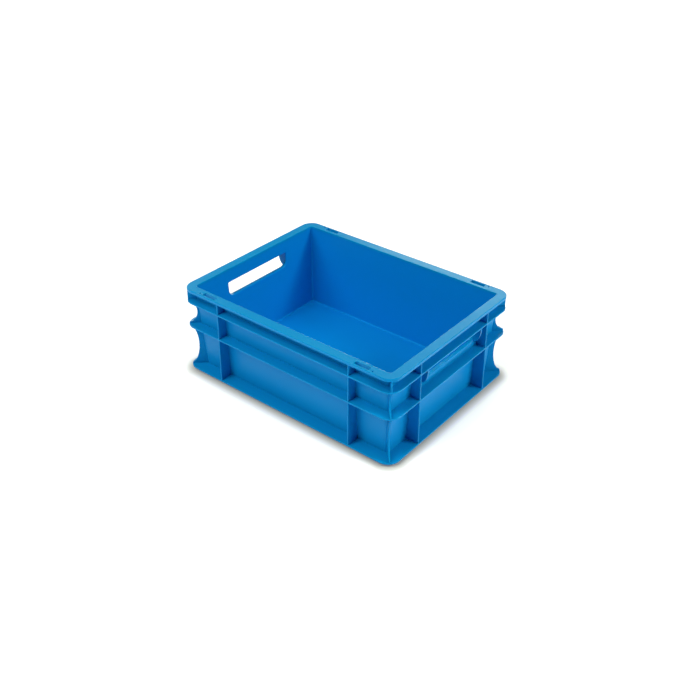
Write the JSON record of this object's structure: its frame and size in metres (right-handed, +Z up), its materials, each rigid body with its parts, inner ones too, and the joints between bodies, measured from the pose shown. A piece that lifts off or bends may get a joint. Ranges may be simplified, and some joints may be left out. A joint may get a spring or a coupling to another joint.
{
  "type": "euro stacking container",
  "caption": "Open rectangular stacking container moulded in one piece, with a flanged rim, ribbed walls, scalloped corner fins and collared hand holes in its short sides.",
  "frame": {"origin": "middle of the underside of the stacking foot, the surface that the container stands on", "axes": "+X along the long sides, +Y along the short sides, +Z up through the open mouth"},
  "size_m": [0.4, 0.3, 0.145],
  "materials": {
    "polypropylene": "satin moulded polypropylene in mid blue"
  },
  "bodies": {
    "root": {"container": "polypropylene"}
  },
  "joints": []
}
